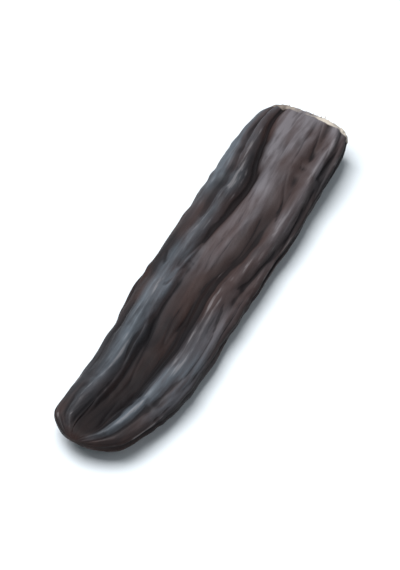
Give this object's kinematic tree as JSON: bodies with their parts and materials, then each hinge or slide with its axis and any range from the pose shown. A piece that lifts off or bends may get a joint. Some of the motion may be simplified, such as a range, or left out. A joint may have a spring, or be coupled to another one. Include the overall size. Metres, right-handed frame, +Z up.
{
  "type": "carob pod",
  "caption": "Ripe, dried carob pod lying on a broad face, dark and leathery, with ridged margins, a sunken panel and a short beak.",
  "frame": {"origin": "middle of the box's underside, on the surface that the pod lies on", "axes": "+X along the pod towards its stem end, -X towards its beak, +Y towards the far margin, +Z up through the upper face"},
  "size_m": [0.1336, 0.0364, 0.013],
  "materials": {
    "pod_skin": "dry leathery husk, satin on its ridges and dull in its creases"
  },
  "bodies": {
    "root": {"carob_pod": "pod_skin"}
  },
  "joints": []
}
